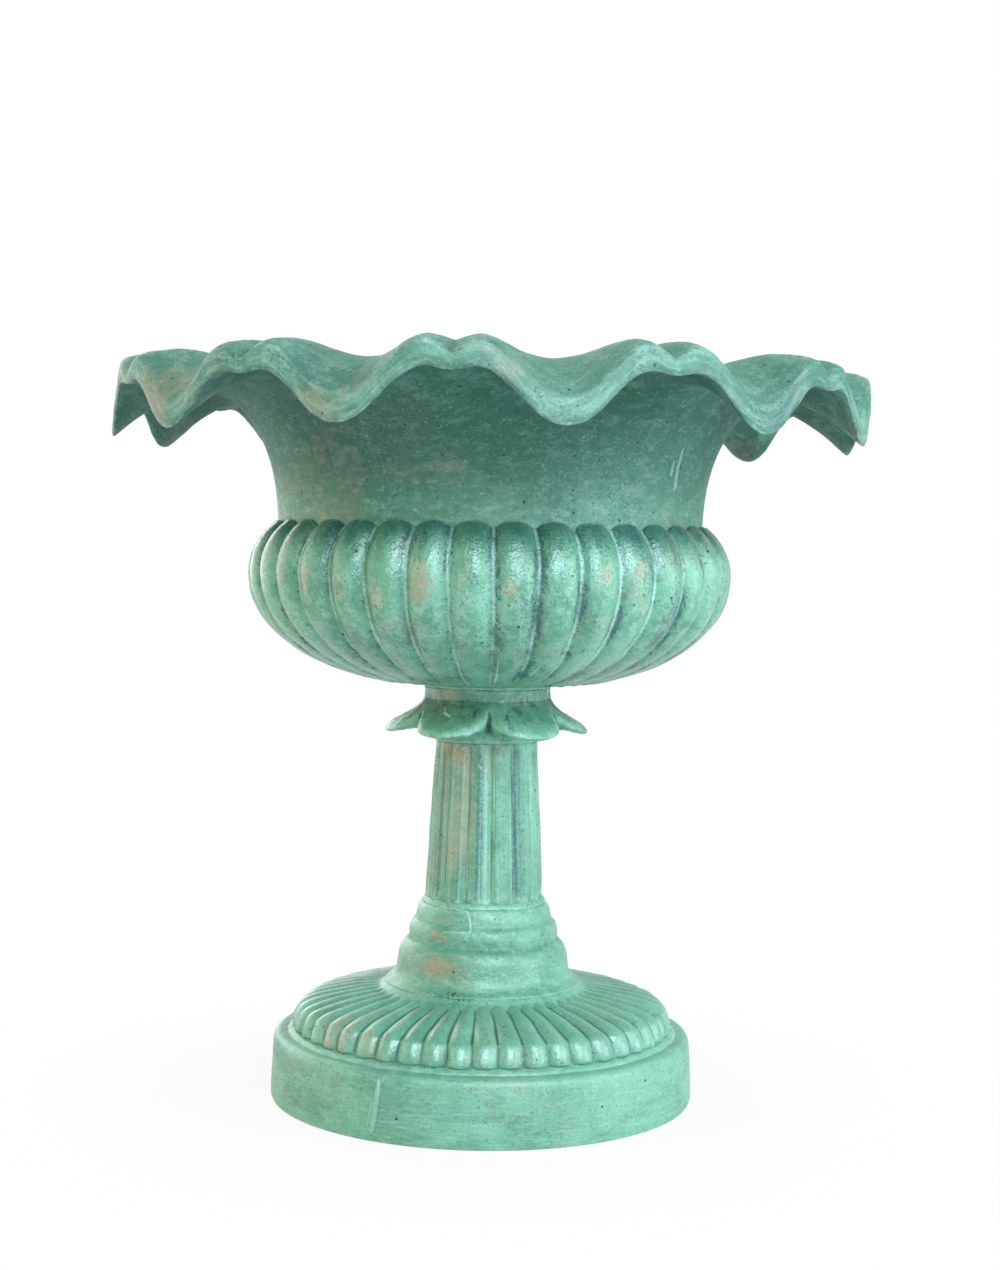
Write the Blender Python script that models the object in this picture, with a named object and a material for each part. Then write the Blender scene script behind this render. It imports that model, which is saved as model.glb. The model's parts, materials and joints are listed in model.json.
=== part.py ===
"""Cast pedestal urn with a waved rim, a gadrooned bowl, a leaf collar, a fluted column and a ribbed foot.

Seven castings stand on each other on thin mortar beds, located by round spigots in sockets.
One tie rod down the middle, with a nut and washers at each end, clamps the stack together.
Lengths are in metres and angles in degrees. +Z is up, and the origin is the middle of the underside.
"""

import math

import bmesh
import bpy

# Fits shared by all joints
SEAT_GAP = 0.0003
MORTAR_BED = 0.0024
SPIGOT_RADIUS = 0.022
SPIGOT_DEPTH = 0.004
SPIGOT_CLEARANCE = 0.0005
BED_INSET = 0.0005

# Tie rod, nuts and washers
ROD_RADIUS = 0.006
ROD_CLEARANCE = 0.002
ROD_TAIL = 0.005
ROD_CHAMFER = 0.001
NUT_ACROSS_FLATS = 0.019
NUT_HEIGHT = 0.0104
PLATE_WASHER_RADIUS = 0.020
PLATE_WASHER_THICKNESS = 0.0035
SEAL_WASHER_RADIUS = 0.024
SEAL_WASHER_THICKNESS = 0.003

# Plinth
PLINTH_RADIUS = 0.150
PLINTH_HEIGHT = 0.046
PLINTH_DRAFT = 0.0015
PLINTH_ROUNDING = 0.006
PLINTH_TOE = 0.0015
STANDING_RING_WIDTH = 0.030
DISH_DEPTH = 0.004
NUT_POCKET_CLEARANCE = 0.006
GROUND_CLEARANCE = 0.0045

# Ribbed foot
RIB_COUNT = 48
FOOT_RADIUS = 0.136
FOOT_HEIGHT = 0.0294
RIB_END_HEIGHT = 0.018
RIB_END_ROUNDING = 0.005
RIB_DEPTH = 0.0042
RIB_ROOT_DEPTH = 0.0012
FOOT_TURN = 2.8

# Bell base with its two step rings
BELL_RADIUS = 0.0745
BELL_LIP = 0.002
BELL_HEIGHT = 0.0275
BELL_WAIST_INSET = 0.0135
BELL_SHOULDER_INSET = 0.0175
STEP_RING_OVERHANG = 0.005
STEP_RING_SPACING = 0.0055
LOWER_RING_HEIGHT = 0.0145
UPPER_RING_HEIGHT = 0.0155
STEP_RING_ROUNDING = 0.003

# Fluted column
FLUTE_COUNT = 14
COLUMN_FOOT_RADIUS = 0.042
COLUMN_HEAD_RADIUS = 0.0363
COLUMN_HEIGHT = 0.1125
FLUTE_DEPTH = 0.0024
FLUTE_TURN = 12.6

# Leaf collar with the neck stub that carries the bowl
PETAL_COUNT = 6
PETAL_REACH = 0.0265
PETAL_NOTCH_REACH = 0.0085
PETAL_THICKNESS = 0.005
PETAL_TIP_HEIGHT = 0.003
PETAL_NOTCH_HEIGHT = 0.0115
PETAL_SAG = 1.3
PETAL_HOLLOW = 0.25
COLLAR_OVERHANG = 0.0037
COLLAR_HEIGHT = 0.027
NECK_STUB_STEP = 0.0087
NECK_STUB_HEIGHT = 0.0086
PETAL_TURN = 7.0

# Gadrooned bowl
GADROON_COUNT = 36
GADROON_DEPTH = 0.0065
GADROON_ROOT_DEPTH = 0.0012
BELLY_SWELL = 0.0215
BELLY_HEIGHT = 0.077
BOWL_FOOT_OVERHANG = 0.005
DOME_HEIGHT = 0.0375
DOME_SWEEP = 60.0
SCALLOP_DROP = 0.005
SCALLOP_LIP = 0.0016
BOWL_WALL = 0.012
BOWL_FLOOR = 0.016
LEDGE_DEPTH = 0.010
LEDGE_THICKNESS = 0.006
GADROON_TURN = -3.6

# Flared rim with its waves
WAVE_COUNT = 12
NECK_RADIUS = 0.1515
NECK_WALL = 0.012
NECK_STRAIGHT = 0.010
NECK_CLEARANCE = 0.0008
FLARE_REACH = 0.0575
FLARE_HEIGHT = 0.090
RIM_REACH = 0.1165
RIM_THICKNESS = 0.0163
RIM_DROOP = 0.0215
WAVE_HEIGHT = 0.0325
WAVE_START = 0.0135
CREST_NOTCH = 0.10
CREST_HALF_WIDTH = 0.23

# Steps round each piece
TURNED_STEPS = 36
BED_STEPS = 20
ROD_STEPS = 16
GADROON_STEPS = 4
RIB_STEPS = 3
FLUTE_STEPS = 6
PETAL_STEPS = 8
WAVE_STEPS = 8

# Heights of the joints, from the underside up
FOOT_Z = PLINTH_HEIGHT + MORTAR_BED
FOOT_TOP = FOOT_Z + FOOT_HEIGHT
BELL_Z = FOOT_TOP + MORTAR_BED
BELL_TOP = BELL_Z + BELL_HEIGHT + LOWER_RING_HEIGHT + UPPER_RING_HEIGHT
COLUMN_Z = BELL_TOP + MORTAR_BED
COLUMN_TOP = COLUMN_Z + COLUMN_HEIGHT
COLLAR_Z = COLUMN_TOP + MORTAR_BED
COLLAR_TOP = COLLAR_Z + COLLAR_HEIGHT + NECK_STUB_HEIGHT
BOWL_Z = COLLAR_TOP + MORTAR_BED
BELLY_Z = BOWL_Z + BELLY_HEIGHT
BOWL_TOP = BELLY_Z + DOME_HEIGHT
LEDGE_Z = BOWL_TOP - LEDGE_DEPTH
RIM_Z = LEDGE_Z + MORTAR_BED
FLARE_Z = RIM_Z + NECK_STRAIGHT

# Radii that several pieces share
BORE_RADIUS = ROD_RADIUS + ROD_CLEARANCE
SOCKET_RADIUS = SPIGOT_RADIUS + SPIGOT_CLEARANCE
SPIGOT_LENGTH = MORTAR_BED + SPIGOT_DEPTH
SOCKET_DEPTH = SPIGOT_DEPTH + SPIGOT_CLEARANCE
BED_BORE_RADIUS = SOCKET_RADIUS + BED_INSET
NECK_BORE_RADIUS = NECK_RADIUS - NECK_WALL
LIP_BORE_RADIUS = NECK_RADIUS + NECK_CLEARANCE
SCALLOP_RADIUS = LIP_BORE_RADIUS + SCALLOP_LIP
BELLY_RADIUS = NECK_RADIUS + BELLY_SWELL
UPPER_RING_RADIUS = COLUMN_FOOT_RADIUS + STEP_RING_OVERHANG
LOWER_RING_RADIUS = UPPER_RING_RADIUS + STEP_RING_SPACING
NECK_STUB_RADIUS = COLUMN_HEAD_RADIUS + NECK_STUB_STEP
COLLAR_SEAT_RADIUS = COLUMN_HEAD_RADIUS + COLLAR_OVERHANG
BOWL_FOOT_RADIUS = NECK_STUB_RADIUS + BOWL_FOOT_OVERHANG
NUT_POCKET_RADIUS = PLATE_WASHER_RADIUS + NUT_POCKET_CLEARANCE

# Heights of the two faces that the tie rod clamps
FLOOR_Z = BOWL_Z + BOWL_FLOOR
POCKET_Z = GROUND_CLEARANCE + ROD_TAIL + NUT_HEIGHT + PLATE_WASHER_THICKNESS + 2 * SEAT_GAP


def clear_scene():
    for old in list(bpy.data.objects):
        bpy.data.objects.remove(old)


def make_material(name, colour, roughness, metallic=0.0):
    material = bpy.data.materials.new(name)
    material.use_nodes = True
    shader = material.node_tree.nodes["Principled BSDF"]
    shader.inputs["Base Color"].default_value = (*colour, 1.0)
    shader.inputs["Roughness"].default_value = roughness
    shader.inputs["Metallic"].default_value = metallic
    return material


def make_object(name, bm, material, smooth_angle=35.0):
    """An object from a bmesh, with faces turned outwards and round stretches shaded smooth."""
    bmesh.ops.recalc_face_normals(bm, faces=bm.faces)
    mesh = bpy.data.meshes.new(name)
    bm.to_mesh(mesh)
    bm.free()
    mesh.shade_smooth()
    mesh.set_sharp_from_angle(angle=math.radians(smooth_angle))
    made = bpy.data.objects.new(name, mesh)
    bpy.context.scene.collection.objects.link(made)
    if material:
        mesh.materials.append(material)
    return made


def make_cutter(made):
    made.hide_render = True
    made.display_type = "WIRE"
    return made


def combine(target, tool, operation):
    modifier = target.modifiers.new(tool.name, "BOOLEAN")
    modifier.operation = operation
    modifier.object = tool


def arc(centre, radii, start, end, count):
    """Points along an elliptical arc in the (radius, height) plane, both ends included."""
    points = []
    for i in range(count + 1):
        angle = math.radians(start + (end - start) * i / count)
        points.append((centre[0] + radii[0] * math.cos(angle), centre[1] + radii[1] * math.sin(angle)))
    return points


def ring_of_points(bm, low, high, lobes, steps, share, turn):
    """One station of a loft: a ring that swings between its low and its high point, lobe by lobe."""
    ring = []
    for i in range(lobes * steps):
        lift = share((i % steps) / steps)
        radius = low[0] + (high[0] - low[0]) * lift
        height = low[1] + (high[1] - low[1]) * lift
        angle = 2 * math.pi * i / (lobes * steps) + math.radians(turn - 90)
        ring.append(bm.verts.new((radius * math.cos(angle), radius * math.sin(angle), height)))
    return ring


def loft(name, low, high, lobes, steps, share, turn, material, closed=False):
    """A solid lofted round Z between two profiles: low in the hollows and high on the lobes.

    A closed profile goes round the wall of a hollow piece. An open one is capped at both ends.
    """
    bm = bmesh.new()
    rings = [ring_of_points(bm, a, b, lobes, steps, share, turn) for a, b in zip(low, high)]
    pairs = list(zip(rings, rings[1:]))
    if closed:
        pairs.append((rings[-1], rings[0]))
    else:
        bm.faces.new(rings[0])
        bm.faces.new(rings[-1])
    for below, above in pairs:
        for i in range(len(below)):
            after = (i + 1) % len(below)
            bm.faces.new((below[i], below[after], above[after], above[i]))
    return make_object(name, bm, material)


def turned(name, profile, steps, material, closed=True):
    """A plain round piece: the loft of one profile with itself."""
    return loft(name, profile, profile, 1, steps, lambda v: 0.0, 0.0, material, closed)


def ring(name, bore, radius, bottom, top, steps, material):
    profile = [(bore, bottom), (radius, bottom), (radius, top), (bore, top)]
    return turned(name, profile, steps, material)


def round_lobe(v):
    """A half-round lobe that rises from a sharp hollow at v = 0."""
    return math.sqrt(1 - (2 * v - 1) ** 2)


def flat_stave(v):
    """A nearly flat stave between narrow grooves."""
    return math.sin(math.pi * v) ** 0.4


def petal_outline(v):
    """A full rounded petal between sharp notches."""
    return math.sin(math.pi * v) ** 0.6


def rim_wave(v):
    """The rim's wave: two humps with a crease between them at v = 0, and a round hollow at v = 0.5."""
    u = abs(2 * v - 2 * round(v))
    if u < CREST_HALF_WIDTH:
        return 1 - CREST_NOTCH * (1 - u / CREST_HALF_WIDTH)
    return 0.5 + 0.5 * math.cos(math.pi * (u - CREST_HALF_WIDTH) / (1 - CREST_HALF_WIDTH))


def add_core(casting, top, bottom, spigot=True, socket=True):
    """The rod's bore through a casting, with a socket in its top and a spigot under its bottom."""
    reach = SPIGOT_LENGTH + SPIGOT_CLEARANCE
    if spigot:
        stub = turned(casting.name + "_spigot", [
            (SPIGOT_RADIUS, bottom - SPIGOT_LENGTH),
            (SPIGOT_RADIUS, bottom + SPIGOT_LENGTH),
        ], BED_STEPS, None, closed=False)
        combine(casting, make_cutter(stub), "UNION")
    profile = [(BORE_RADIUS, bottom - 2 * reach)]
    if socket:
        profile += [(BORE_RADIUS, top - SOCKET_DEPTH), (SOCKET_RADIUS, top - SOCKET_DEPTH)]
        profile += [(SOCKET_RADIUS, top + reach)]
    else:
        profile += [(BORE_RADIUS, top + reach)]
    bore = turned(casting.name + "_bore", profile, BED_STEPS, None, closed=False)
    combine(casting, make_cutter(bore), "DIFFERENCE")


def make_bed(name, radius, below, material):
    """A mortar bed between two castings, from the spigot out to just inside the face of the joint."""
    bottom = below + SEAT_GAP
    top = below + MORTAR_BED - SEAT_GAP
    return ring(name, BED_BORE_RADIUS, radius - BED_INSET, bottom, top, BED_STEPS, material)


def make_plinth(material):
    top_radius = PLINTH_RADIUS - PLINTH_DRAFT
    dish_radius = PLINTH_RADIUS - STANDING_RING_WIDTH
    shoulder = arc(
        (top_radius - PLINTH_ROUNDING, PLINTH_HEIGHT - PLINTH_ROUNDING),
        (PLINTH_ROUNDING, PLINTH_ROUNDING), 0, 90, 3)
    profile = [
        (BORE_RADIUS, POCKET_Z),
        (NUT_POCKET_RADIUS, POCKET_Z),
        (NUT_POCKET_RADIUS, DISH_DEPTH),
        (dish_radius - DISH_DEPTH, DISH_DEPTH),
        (dish_radius, 0.0),
        (PLINTH_RADIUS - PLINTH_TOE, 0.0),
        (PLINTH_RADIUS, PLINTH_TOE),
        *shoulder,
        (SOCKET_RADIUS, PLINTH_HEIGHT),
        (SOCKET_RADIUS, PLINTH_HEIGHT - SOCKET_DEPTH),
        (BORE_RADIUS, PLINTH_HEIGHT - SOCKET_DEPTH),
    ]
    return turned("plinth", profile, TURNED_STEPS, material)


def foot_profile(depth, root_depth):
    """The foot's outside from the underside up to the bell's seat, sunk by the depth of the grooves."""
    edge = FOOT_RADIUS - depth
    end_z = FOOT_Z + RIB_END_HEIGHT - depth / 2
    rounding = (RIB_END_ROUNDING, RIB_END_ROUNDING)
    corner = arc((edge - RIB_END_ROUNDING, end_z - RIB_END_ROUNDING), rounding, 0, 75, 2)
    middle = (corner[-1][0] + BELL_RADIUS) / 2
    middle_z = (corner[-1][1] + FOOT_TOP - root_depth) / 2
    crown = (FOOT_HEIGHT - RIB_END_HEIGHT) / 8
    return [(edge, FOOT_Z), *corner, (middle, middle_z + crown), (BELL_RADIUS, FOOT_TOP - root_depth)]


def make_foot(material):
    low = foot_profile(RIB_DEPTH, RIB_ROOT_DEPTH)
    high = foot_profile(0.0, 0.0)
    seat = (BELL_RADIUS - RIB_DEPTH, FOOT_TOP)
    low.append(seat)
    high.append(seat)
    foot = loft("ribbed_foot", low, high, RIB_COUNT, RIB_STEPS, round_lobe, FOOT_TURN, material)
    add_core(foot, FOOT_TOP, FOOT_Z)
    return foot


def step_ring(radius, bottom, height):
    """One torus-like step: a rounded edge below, a straight face and a rounded edge above."""
    rounding = STEP_RING_ROUNDING
    top = bottom + height
    return [
        (radius, bottom + rounding),
        (radius, top - rounding),
        (radius - rounding, top),
    ]


def make_bell(material):
    waist = BELL_RADIUS - BELL_WAIST_INSET
    shoulder = BELL_RADIUS - BELL_SHOULDER_INSET
    lip_z = BELL_Z + BELL_LIP
    flare_height = (BELL_HEIGHT - BELL_LIP) / 2
    waist_z = lip_z + flare_height
    bell_top = BELL_Z + BELL_HEIGHT
    rings_z = bell_top + LOWER_RING_HEIGHT
    flare = arc((BELL_RADIUS, waist_z), (BELL_WAIST_INSET, flare_height), 270, 180, 3)
    crown = arc((shoulder, waist_z), (waist - shoulder, bell_top - waist_z), 30, 90, 2)
    spigot_z = BELL_Z - SPIGOT_LENGTH
    profile = [
        (BORE_RADIUS, spigot_z),
        (SPIGOT_RADIUS, spigot_z),
        (SPIGOT_RADIUS, BELL_Z),
        (BELL_RADIUS, BELL_Z),
        *flare,
        *crown,
        *step_ring(LOWER_RING_RADIUS, bell_top, LOWER_RING_HEIGHT),
        *step_ring(UPPER_RING_RADIUS, rings_z, UPPER_RING_HEIGHT),
        (SOCKET_RADIUS, BELL_TOP),
        (SOCKET_RADIUS, BELL_TOP - SOCKET_DEPTH),
        (BORE_RADIUS, BELL_TOP - SOCKET_DEPTH),
    ]
    return turned("bell_base", profile, TURNED_STEPS, material)


def make_column(material):
    high = [(COLUMN_FOOT_RADIUS, COLUMN_Z), (COLUMN_HEAD_RADIUS, COLUMN_TOP)]
    low = [(radius - FLUTE_DEPTH, height) for radius, height in high]
    column = loft("fluted_column", low, high, FLUTE_COUNT, FLUTE_STEPS, flat_stave, FLUTE_TURN, material)
    add_core(column, COLUMN_TOP, COLUMN_Z)
    return column


def petal_profile(reach, tip_height):
    """The collar's outside: from its seat out under a petal, back over it and up the neck stub."""
    root_z = COLLAR_Z + COLLAR_HEIGHT
    edge_z = COLLAR_Z + tip_height
    edge_radius = NECK_STUB_RADIUS + reach
    fall = root_z - edge_z - PETAL_THICKNESS
    over = []
    for share in (0.75, 0.4):
        height = edge_z + PETAL_THICKNESS + fall * (1 - share ** PETAL_SAG)
        over.append((NECK_STUB_RADIUS + reach * share, height))
    hollow = (COLLAR_SEAT_RADIUS + reach * PETAL_HOLLOW, edge_z + fall * PETAL_HOLLOW)
    return [
        (COLLAR_SEAT_RADIUS, COLLAR_Z),
        hollow,
        (edge_radius - PETAL_THICKNESS / 2, edge_z),
        (edge_radius, edge_z + PETAL_THICKNESS / 2),
        *over,
        (NECK_STUB_RADIUS, root_z),
        (NECK_STUB_RADIUS, COLLAR_TOP),
    ]


def make_collar(material):
    low = petal_profile(PETAL_NOTCH_REACH, PETAL_NOTCH_HEIGHT)
    high = petal_profile(PETAL_REACH, PETAL_TIP_HEIGHT)
    collar = loft("leaf_collar", low, high, PETAL_COUNT, PETAL_STEPS, petal_outline, PETAL_TURN, material)
    add_core(collar, COLLAR_TOP, COLLAR_Z)
    return collar


def bowl_profile(depth, root_depth, drop):
    """The bowl's outside from its foot up to the scalloped lip, sunk by the depth of the hollows."""
    belly = BELLY_RADIUS - depth
    under_radii = (belly - BOWL_FOOT_RADIUS, BELLY_HEIGHT - root_depth)
    under = arc((BOWL_FOOT_RADIUS, BELLY_Z), under_radii, 270, 360, 5)
    swell = (belly - SCALLOP_RADIUS) / (1 - math.cos(math.radians(DOME_SWEEP)))
    rise = (DOME_HEIGHT - drop) / math.sin(math.radians(DOME_SWEEP))
    dome = arc((belly - swell, BELLY_Z), (swell, rise), 0, DOME_SWEEP, 3)
    return under + dome[1:]


def make_bowl(material):
    low = bowl_profile(GADROON_DEPTH, GADROON_ROOT_DEPTH, SCALLOP_DROP)
    high = bowl_profile(0.0, 0.0, 0.0)
    foot = (BOWL_FOOT_RADIUS - GADROON_DEPTH, BOWL_Z)
    inside = LIP_BORE_RADIUS - SCALLOP_LIP
    cap = (NECK_BORE_RADIUS, LEDGE_Z + LEDGE_DEPTH / 2)
    low = [foot, *low, (inside, low[-1][1]), cap]
    high = [foot, *high, (inside, high[-1][1]), cap]
    bowl = loft("gadrooned_bowl", low, high, GADROON_COUNT, GADROON_STEPS, round_lobe, GADROON_TURN, material)
    belly = BELLY_RADIUS - GADROON_DEPTH - BOWL_WALL
    floor_radius = BOWL_FOOT_RADIUS - BOWL_WALL
    hollow = arc((floor_radius, BELLY_Z), (belly - floor_radius, BELLY_Z - FLOOR_Z), 270, 360, 5)
    hollow += [
        (belly, BELLY_Z + (LEDGE_Z - LEDGE_THICKNESS - BELLY_Z) / 3),
        (NECK_BORE_RADIUS, LEDGE_Z - LEDGE_THICKNESS),
        (NECK_BORE_RADIUS, LEDGE_Z),
        (LIP_BORE_RADIUS, LEDGE_Z),
        (LIP_BORE_RADIUS, BOWL_TOP + LEDGE_DEPTH),
    ]
    cutter = make_cutter(turned("bowl_hollow", hollow, TURNED_STEPS, None, closed=False))
    combine(bowl, cutter, "DIFFERENCE")
    add_core(bowl, FLOOR_Z, BOWL_Z, socket=False)
    return bowl


def rim_profile(rise):
    """The rim's wall, from its seat up the outside, over the edge and down the inside.

    rise is 1 on a crest of the wave and -1 in a hollow.
    """
    edge_radius = NECK_RADIUS + RIM_REACH
    flare_radius = NECK_RADIUS + FLARE_REACH
    wave_start = NECK_RADIUS + WAVE_START
    middle = (flare_radius + edge_radius) / 2

    def wave(radius):
        share = max(0.0, (radius - wave_start) / (edge_radius - wave_start))
        return rise * WAVE_HEIGHT / 2 * share ** 2

    def droop(radius):
        share = max(0.0, (radius - flare_radius) / (edge_radius - flare_radius))
        return RIM_DROOP * share ** 2

    def lowered(point):
        return (point[0], point[1] + wave(point[0]) - droop(point[0]))

    flare_top = FLARE_Z + FLARE_HEIGHT
    outside = arc((flare_radius, FLARE_Z), (FLARE_REACH, FLARE_HEIGHT), 180, 90, 3)
    underside = [*outside, (middle, flare_top), (edge_radius, flare_top)]
    inner_reach = FLARE_REACH + NECK_WALL
    top = flare_top + NECK_WALL
    inside = arc((flare_radius, FLARE_Z), (inner_reach, FLARE_HEIGHT + NECK_WALL), 90, 180, 3)
    middle_top = flare_top + (NECK_WALL + RIM_THICKNESS) / 2
    upper = [(edge_radius, flare_top + RIM_THICKNESS), (middle, middle_top), (flare_radius, top), *inside[1:]]
    wall = [lowered(point) for point in underside + upper]
    return [(NECK_RADIUS, RIM_Z), *wall, (NECK_BORE_RADIUS, RIM_Z)]


def make_rim(material):
    low = rim_profile(-1)
    high = rim_profile(1)
    return loft("flared_rim", low, high, WAVE_COUNT, WAVE_STEPS, rim_wave, 0.0, material, closed=True)


def make_nut(name, bottom, material):
    bm = bmesh.new()
    radius = NUT_ACROSS_FLATS / 2 / math.cos(math.radians(30))
    bmesh.ops.create_cone(bm, cap_ends=True, segments=6, radius1=radius, radius2=radius, depth=NUT_HEIGHT)
    bmesh.ops.translate(bm, verts=bm.verts, vec=(0, 0, bottom + NUT_HEIGHT / 2))
    nut = make_object(name, bm, material)
    reach = NUT_HEIGHT / 2
    bore = ROD_RADIUS + SEAT_GAP
    hole = [(bore, bottom - reach), (bore, bottom + NUT_HEIGHT + reach)]
    combine(nut, make_cutter(turned(name + "_bore", hole, ROD_STEPS, None, closed=False)), "DIFFERENCE")
    return nut


def make_tie_rod(steel, rubber):
    """The rod with its nut and washers: a sealed pair on the bowl's floor and a plain pair in the plinth."""
    bore = ROD_RADIUS + SEAT_GAP
    seal_top = FLOOR_Z + SEAT_GAP + SEAL_WASHER_THICKNESS
    plate_top = seal_top + SEAT_GAP + PLATE_WASHER_THICKNESS
    ring("bowl_seal_washer", bore, SEAL_WASHER_RADIUS, FLOOR_Z + SEAT_GAP, seal_top, ROD_STEPS, rubber)
    ring("bowl_plate_washer", bore, PLATE_WASHER_RADIUS, seal_top + SEAT_GAP, plate_top, ROD_STEPS, steel)
    make_nut("bowl_nut", plate_top + SEAT_GAP, steel)
    rod_top = plate_top + SEAT_GAP + NUT_HEIGHT + ROD_TAIL
    base_plate_top = POCKET_Z - SEAT_GAP
    base_plate_bottom = base_plate_top - PLATE_WASHER_THICKNESS
    ring("base_plate_washer", bore, PLATE_WASHER_RADIUS, base_plate_bottom, base_plate_top, ROD_STEPS, steel)
    base_nut_bottom = base_plate_bottom - SEAT_GAP - NUT_HEIGHT
    make_nut("base_nut", base_nut_bottom, steel)
    rod_bottom = base_nut_bottom - ROD_TAIL
    turned("tie_rod", [
        (ROD_RADIUS - ROD_CHAMFER, rod_bottom),
        (ROD_RADIUS, rod_bottom + ROD_CHAMFER),
        (ROD_RADIUS, rod_top - ROD_CHAMFER),
        (ROD_RADIUS - ROD_CHAMFER, rod_top),
    ], ROD_STEPS, steel, closed=False)


def make_beds(mortar):
    make_bed("plinth_mortar_bed", FOOT_RADIUS - RIB_DEPTH, PLINTH_HEIGHT, mortar)
    make_bed("foot_mortar_bed", BELL_RADIUS - RIB_DEPTH, FOOT_TOP, mortar)
    make_bed("column_mortar_bed", COLUMN_FOOT_RADIUS - FLUTE_DEPTH, BELL_TOP, mortar)
    make_bed("collar_mortar_bed", COLUMN_HEAD_RADIUS - FLUTE_DEPTH, COLUMN_TOP, mortar)
    make_bed("bowl_mortar_bed", NECK_STUB_RADIUS, COLLAR_TOP, mortar)
    rim_bed = (LEDGE_Z + SEAT_GAP, RIM_Z - SEAT_GAP)
    ring("rim_mortar_bed", NECK_BORE_RADIUS + BED_INSET, NECK_RADIUS, *rim_bed, TURNED_STEPS, mortar)


def main():
    clear_scene()
    mortar = make_material("painted_mortar", (0.13, 0.30, 0.22), 0.8)
    steel = make_material("zinc_plated_steel", (0.55, 0.56, 0.57), 0.4, metallic=1.0)
    rubber = make_material("black_rubber", (0.02, 0.02, 0.02), 0.8)
    make_plinth(make_material("plinth_paint", (0.19, 0.45, 0.33), 0.55))
    make_foot(make_material("foot_paint", (0.16, 0.41, 0.31), 0.55))
    make_bell(make_material("bell_paint", (0.17, 0.41, 0.32), 0.55))
    make_column(make_material("column_paint", (0.17, 0.38, 0.31), 0.55))
    make_collar(make_material("collar_paint", (0.16, 0.40, 0.30), 0.55))
    make_bowl(make_material("bowl_paint", (0.15, 0.39, 0.29), 0.5))
    make_rim(make_material("rim_paint", (0.18, 0.42, 0.31), 0.5))
    make_beds(mortar)
    make_tie_rod(steel, rubber)


main()
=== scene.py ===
"""Looks of the cast pedestal urn: detailed castings, verdigris paint, drips and a plain studio."""

import json
import math

import bmesh
import bpy
import numpy as np
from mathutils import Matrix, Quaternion, Vector


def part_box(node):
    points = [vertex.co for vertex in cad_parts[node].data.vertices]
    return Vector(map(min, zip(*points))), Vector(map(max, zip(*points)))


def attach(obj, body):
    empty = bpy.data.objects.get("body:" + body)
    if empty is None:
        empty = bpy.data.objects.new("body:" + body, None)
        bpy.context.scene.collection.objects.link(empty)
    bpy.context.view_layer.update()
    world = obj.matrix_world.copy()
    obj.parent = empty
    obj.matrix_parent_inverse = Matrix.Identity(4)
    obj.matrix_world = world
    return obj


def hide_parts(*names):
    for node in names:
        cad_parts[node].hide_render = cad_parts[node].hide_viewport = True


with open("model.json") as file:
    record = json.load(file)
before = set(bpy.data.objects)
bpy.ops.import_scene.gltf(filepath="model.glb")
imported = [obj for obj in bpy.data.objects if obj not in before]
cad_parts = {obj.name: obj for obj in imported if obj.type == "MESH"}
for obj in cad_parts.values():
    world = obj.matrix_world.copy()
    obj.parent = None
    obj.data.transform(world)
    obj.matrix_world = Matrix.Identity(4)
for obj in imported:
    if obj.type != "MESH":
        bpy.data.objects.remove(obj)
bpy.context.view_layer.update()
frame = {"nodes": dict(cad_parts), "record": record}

GAP = 0.0003  # left between a casting and its bed
TAU = 2 * math.pi
WHITE = (1, 1, 1, 1)

# Heights of the castings' seats, from the frame
PLINTH_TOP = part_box("plinth")[1][2]
FOOT_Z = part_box("plinth_mortar_bed")[1][2] + GAP
FOOT_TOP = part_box("ribbed_foot")[1][2]
BELL_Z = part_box("foot_mortar_bed")[1][2] + GAP
BELL_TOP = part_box("bell_base")[1][2]
COLUMN_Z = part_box("column_mortar_bed")[1][2] + GAP
COLUMN_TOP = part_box("fluted_column")[1][2]
COLLAR_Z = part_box("collar_mortar_bed")[1][2] + GAP
COLLAR_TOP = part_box("leaf_collar")[1][2]
BOWL_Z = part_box("bowl_mortar_bed")[1][2] + GAP
BOWL_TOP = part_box("gadrooned_bowl")[1][2]
FLOOR_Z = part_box("bowl_seal_washer")[0][2] - GAP
LEDGE_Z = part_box("rim_mortar_bed")[0][2] - GAP
RIM_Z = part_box("rim_mortar_bed")[1][2] + GAP

# Radii, from the frame or given
PLINTH_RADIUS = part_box("plinth")[1][0]
BELL_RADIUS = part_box("bell_base")[1][0] - 0.004  # the dressed flare is tighter than its solid
NECK_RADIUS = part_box("rim_mortar_bed")[1][0]
RIM_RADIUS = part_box("flared_rim")[1][0]
STUB_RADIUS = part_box("bowl_mortar_bed")[1][0] + 0.0005
BORE_RADIUS = 0.008
FOOT_RADIUS = 0.136
COLUMN_FOOT_RADIUS = 0.042
COLUMN_HEAD_RADIUS = 0.0363

# The bowl's belly, and the flare and lip of the rim
BELLY_RADIUS = 0.173
BELLY_Z = BOWL_Z + 0.077
BELLY_WALL = 0.0185
FLARE_Z = RIM_Z + 0.010
FLARE_TOP = FLARE_Z + 0.090
FLARE_RADIUS = NECK_RADIUS + 0.0575
NECK_WALL = 0.012
LIP_THICKNESS = 0.0180
LIP_DROOP = 0.0215
WAVE_SWING = 0.01625
WAVE_START = NECK_RADIUS + 0.0135

# Patterns: how many, and how far each is turned from the rim's front crest, in degrees
WAVES = 12
GADROONS = 36
RIBS = 48
FLUTES = 14
PETALS = 6
WAVE_TURN = 0.0
GADROON_TURN = -3.6
FOOT_TURN = 2.8
FLUTE_TURN = 12.6
PETAL_TURN = 7.0

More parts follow.
